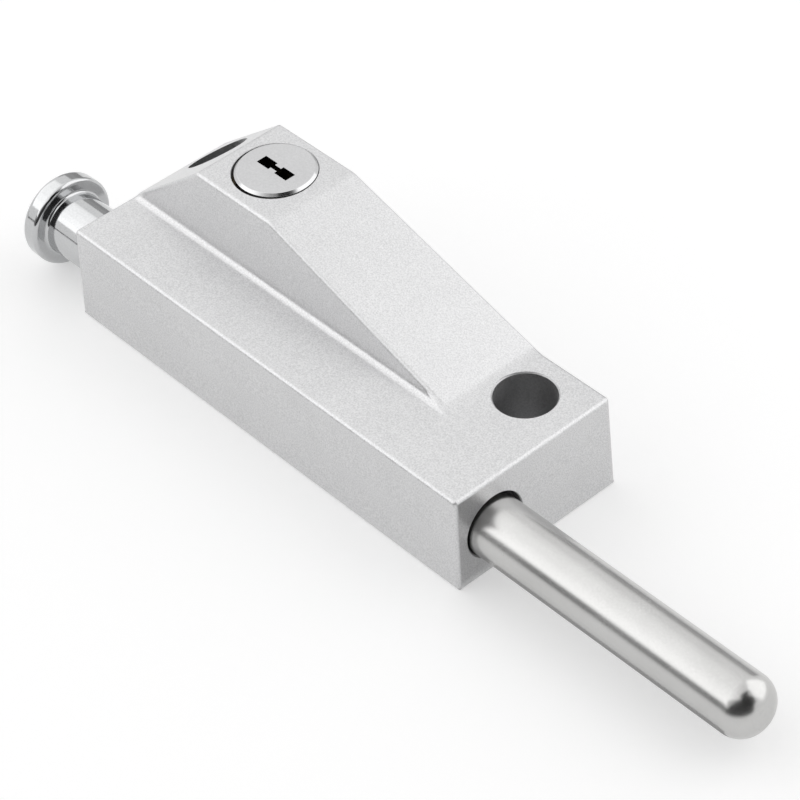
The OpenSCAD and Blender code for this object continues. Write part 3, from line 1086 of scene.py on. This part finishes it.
@dataclass
class LockFace:
    """The round face of the lock, with its polished chamfer and the keyway."""

    # the cap: its radius, top, lower edge, thickness and side wall
    r: float = 7.95
    top: float = 35.8
    low: float = 33.3
    cap_t: float = 0.75
    wall: float = 0.65

    # how far its chamfer runs in and down, and the small breaks of the chamfer's edges: at
    # the outer one, and at the inner one, which starts so far out and down and ends so far in
    chamfer: Pair = (0.55, 0.44)
    outer_break: float = 0.08
    inner_break: Pair = (0.06, 0.03)
    inner_ease: float = 0.05

    # the keyway: its length and width, the width of its waist, and its wide ends' length
    key_l: float = 8.3
    key_w: float = 2.35
    waist: float = 1.05
    end_l: float = 3.3

    def keyway(self) -> Solid:
        """The keyway's outline, drawn out through the face.

        Returns:
            The solid to take away.
        """
        x, y = LOCK_AXIS
        a, w = self.key_l / 2, self.key_w / 2
        b, n = a - self.end_l, self.waist / 2
        outline = [(a, -w), (a, w), (b, w), (b, n), (-b, n), (-b, w), (-a, w), (-a, -w),
                   (-b, -w), (-b, -n), (b, -n), (b, -w)]
        placed = [(x + u, y + v) for u, v in outline]
        return Solid.prism(placed, Axis.Z, self.low - OVER, self.top + OVER)

    def build(self, finish: bpy.types.Material) -> bpy.types.Object:
        """Makes the face.

        Args:
            finish: its material.

        Returns:
            The piece.
        """
        r, top = self.r, self.top
        inner, under = r - self.wall, top - self.cap_t
        across, down = self.chamfer
        out, dip = self.inner_break
        profile = [
            (0, under), (inner, under), (inner, self.low), (r, self.low),
            (r, top - down - self.outer_break), (r - self.outer_break, top - down),
            (r - across + out, top - dip), (r - across - self.inner_ease, top), (0, top),
        ]
        form = Solid.turned(profile, Axis.Z, (*LOCK_AXIS, 0), FINE_STEPS)
        form.carve(Carve.TAKE, self.keyway()).coat(finish)
        return form.finish("lock_face", "plug", FACE_CHROME.slot, "lock_face_cap", sharp=24)


# the frame's own nodes


class Fittings:
    """The nodes that stay as the frame has them, each with its finish."""

    WORN = {
        "base_plate": ZINC_STEEL, "base_plate_screws": ZINC_STEEL, "guide_pin": ZINC_STEEL,
        "friction_spring": SPRING_STEEL, "friction_spring_rivet": ZINC_STEEL,
        "front_bush": BUSH_PLASTIC, "rear_bush": BUSH_PLASTIC, "knob_stud": ZINC_STEEL,
        "lock_shell": BRASS_IN_SHADE, "lock_clamp_screws": ZINC_STEEL, "lock_plug": BRASS_IN_SHADE,
        "plug_clip": SPRING_STEEL, "drive_cam": ZINC_STEEL, "locking_dog": ZINC_STEEL,
        "wafers_odd": BRASS_IN_SHADE, "wafers_even": BRASS_IN_SHADE,
        "wafer_springs_odd": SPRING_STEEL, "wafer_springs_even": SPRING_STEEL,
    }

    def dress(self, made: dict[Finish, bpy.types.Material]) -> None:
        """Gives each node its material.

        Args:
            made: the materials by their finish.
        """
        for name, finish in self.WORN.items():
            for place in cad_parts[name].material_slots:
                place.material = made[finish]
            log.info("%s: dressed in %s", name, finish.name)


# the studio


@dataclass(frozen=True)
class Panel:
    """A flat lamp or card, in metres.

    Attributes:
        name: its name.
        way: the direction to it, from the point that it faces.
        reach: its distance from that point.
        size: its width and height.
        level: a lamp's power in watts, or a card's grey, where 1 is the surround's white.
        facing: the point that it faces, which is the object's middle when left out.
    """

    name: str
    way: Triple
    reach: float
    size: Pair
    level: float
    facing: Triple = (0.02, 0.0, 0.015)

    def place(self, thing: bpy.types.Object) -> None:
        """Puts a lamp or a card in its place, turned to the point that it faces."""
        thing.location = Vector(self.facing) + Vector(self.way).normalized() * self.reach
        thing.rotation_euler = Vector(self.way).to_track_quat("Z", "Y").to_euler()


LAMPS = (
    Panel("back", (-0.57, 0.468, 0.675), 1.0, (1.2, 1.2), 0.35),
    Panel("right", (0.42, 0.64, 0.64), 0.95, (1.1, 1.1), 2.8),
)
# the last one lies just above the floor: a painted shadow under the bolt, which only the metal
# sees and which darkens the bolt's lowest edge
CARDS = (
    Panel("near_card", (-0.40, -0.91, 0.12), 1.5, (0.9, 0.6), 0.26),
    Panel("horizon_card", (-0.74, -0.67, 0.012), 1.5, (0.9, 0.07), 0.18),
    Panel("far_card", (-0.62, 0.74, 0.21), 1.5, (1.3, 0.66), 0.40),
    Panel("camera_card", (0.60, -0.68, 0.413), 1.5, (3.4, 1.7), 0.06),
    Panel("gap_card", (0.66, -0.09, 0.74), 1.4, (0.95, 1.35), 0.03),
    Panel("painted_shadow_strip", (0, 0, 1), 0.0002, (0.057, 0.017), 0.38, facing=(0.083, -0.0105, 0)),
)


@dataclass
class Studio:
    """Camera, lamps, world and floor."""

    # the camera, with the photo's focal length and width in pixels
    camera_at: Triple = (0.34239, -0.26600, 0.39335)
    forward: Triple = (-0.57088, 0.46769, -0.67480)
    right: Triple = (0.67152, 0.73886, -0.05601)
    focal_px: float = 3108
    frame_px: float = 800
    sensor: float = 36
    clip_start: float = 0.01

    # the strength of the surround and of the floor's own glow, and the floor's grey, width
    # and height
    sky: float = 0.50
    glow: float = 0.34
    floor_grey: float = 0.8
    floor_w: float = 6.0
    floor_z: float = -0.0003

    # the key light: how many lamps, its lower edge's height, the first one's half height
    # and what each next one adds, in degrees, its side, distance and width, and the
    # brightness that each lamp adds, where 1 is the surround's white
    key_lamps: int = 7
    key_low: float = 21.0
    key_half: float = 5.5
    key_step: float = 5.0
    key_side: Pair = (-0.743, -0.669)
    key_reach: float = 1.0
    key_w: float = 2.0
    key_level: float = 0.128

    def camera(self) -> None:
        """Places the camera at the photo's angle."""
        data = bpy.data.cameras.new("camera")
        data.sensor_width = self.sensor
        data.lens = self.focal_px / self.frame_px * self.sensor
        data.clip_start = self.clip_start
        forward, right = Vector(self.forward).normalized(), Vector(self.right).normalized()
        turn = Matrix((right, right.cross(forward), -forward)).transposed().to_4x4()
        thing = stand("camera", data)
        thing.matrix_world = Matrix.Translation(self.camera_at) @ turn
        bpy.context.scene.camera = thing

    @staticmethod
    def lamp(panel: Panel) -> None:
        """A soft lamp that faces the object.

        Args:
            panel: its name, place, size and power.
        """
        data = bpy.data.lights.new(panel.name, "AREA")
        data.shape = "RECTANGLE"
        data.size, data.size_y = panel.size
        data.energy = panel.level
        panel.place(stand(panel.name, data))

    def key(self) -> None:
        """The key light: nested lamps on one lower edge, so that it fades upward."""
        x, y = self.key_side
        for i in range(self.key_lamps):
            half = math.radians(self.key_half + self.key_step * i)
            rise = math.radians(self.key_low) + half
            way = (x * math.cos(rise), y * math.cos(rise), math.sin(rise))
            size = (self.key_w, 2 * self.key_reach * math.tan(half))
            watts = self.key_level * math.pi * size[0] * size[1]
            self.lamp(Panel(f"key_{i + 1}", way, self.key_reach, size, watts))

    @staticmethod
    def _sheet(
        name: str, size: Pair, height: float, material: bpy.types.Material
    ) -> bpy.types.Object:
        """A level sheet about the Z axis, which belongs to the studio.

        Args:
            name: its name.
            size: its width and depth in metres.
            height: its place along Z.
            material: its finish.

        Returns:
            The sheet.
        """
        bm = bmesh.new()
        bmesh.ops.create_grid(bm, x_segments=1, y_segments=1, size=0.5)
        bmesh.ops.scale(bm, vec=(*size, 1), verts=bm.verts[:])
        bmesh.ops.translate(bm, verts=bm.verts[:], vec=(0, 0, height))
        mesh = mesh_of(bm, name)
        mesh.materials.append(material)
        thing = stand(name, mesh)
        return thing

    def card(self, panel: Panel) -> None:
        """A grey card that only the metal sees, as a studio's black flag.

        Args:
            panel: its name, place, size and grey.
        """
        material, g = blank_material(panel.name)
        tone = {"Color": (panel.level, panel.level, panel.level, 1), "Strength": 1.0}
        g.end("ShaderNodeOutputMaterial", g.node("ShaderNodeEmission", None, tone))
        thing = self._sheet(panel.name, panel.size, 0, material)
        thing.visible_camera = thing.visible_diffuse = thing.visible_shadow = False
        thing.visible_transmission = thing.visible_volume_scatter = False
        panel.place(thing)

    @staticmethod
    def _seen(g: Graph) -> Sock:
        """Whether a ray comes from the camera or from a mirror or glass.

        Args:
            g: the graph that asks.

        Returns:
            1 for such a ray and 0 for the others.
        """
        kinds = ("Is Camera Ray", "Is Glossy Ray", "Is Transmission Ray")
        camera, glossy, clear = (g.node("ShaderNodeLightPath", output=k) for k in kinds)
        return camera + glossy + clear

    def world(self) -> None:
        """A plain soft surround, white behind the object."""
        made = bpy.data.worlds.new("surround")
        bpy.context.scene.world = made
        made.use_nodes = True
        g = Graph(made.node_tree)
        seen = g.node("ShaderNodeBackground", None, {"Color": WHITE, "Strength": 1.0})
        light = g.node("ShaderNodeBackground", None, {"Color": WHITE, "Strength": self.sky})
        mix = g.node("ShaderNodeMixShader", None, {0: self._seen(g), 1: light, 2: seen})
        g.end("ShaderNodeOutputWorld", mix)

    def floor(self) -> None:
        """A white floor that keeps a soft shadow."""
        material, g = blank_material("floor")
        grey = (self.floor_grey, self.floor_grey, self.floor_grey, 1)
        plain = g.node("ShaderNodeBsdfDiffuse", None, {"Color": grey})
        glow = g.node("ShaderNodeEmission", None, {"Color": WHITE, "Strength": self.glow})
        lifted = g.node("ShaderNodeAddShader", None, {0: plain, 1: glow})
        mix = g.node("ShaderNodeMixShader", None, {0: self._seen(g), 1: plain, 2: lifted})
        g.end("ShaderNodeOutputMaterial", mix)
        self._sheet("floor", (self.floor_w, self.floor_w), self.floor_z, material)

    def build(self) -> None:
        """Sets the whole stage."""
        bpy.context.scene.view_settings.view_transform = "Standard"
        self.camera()
        self.world()
        self.floor()
        self.key()
        for panel in LAMPS:
            self.lamp(panel)
        for panel in CARDS:
            self.card(panel)


def main() -> None:
    """Builds the scene in order."""
    logging.basicConfig(level=logging.INFO, format="%(name)s %(message)s")
    Studio().build()
    made = {finish: finish.make() for finish in FINISHES}
    Casing().build(made[CAST_SILVER], made[HOLE_SHADE_METAL])
    bolt = Bolt()
    bolt.rod(made[POLISHED_STEEL])
    bolt.knob(made[BRIGHT_CHROME])
    LockFace().build(made[FACE_CHROME])
    Fittings().dress(made)


if __name__ == "__main__":
    main()
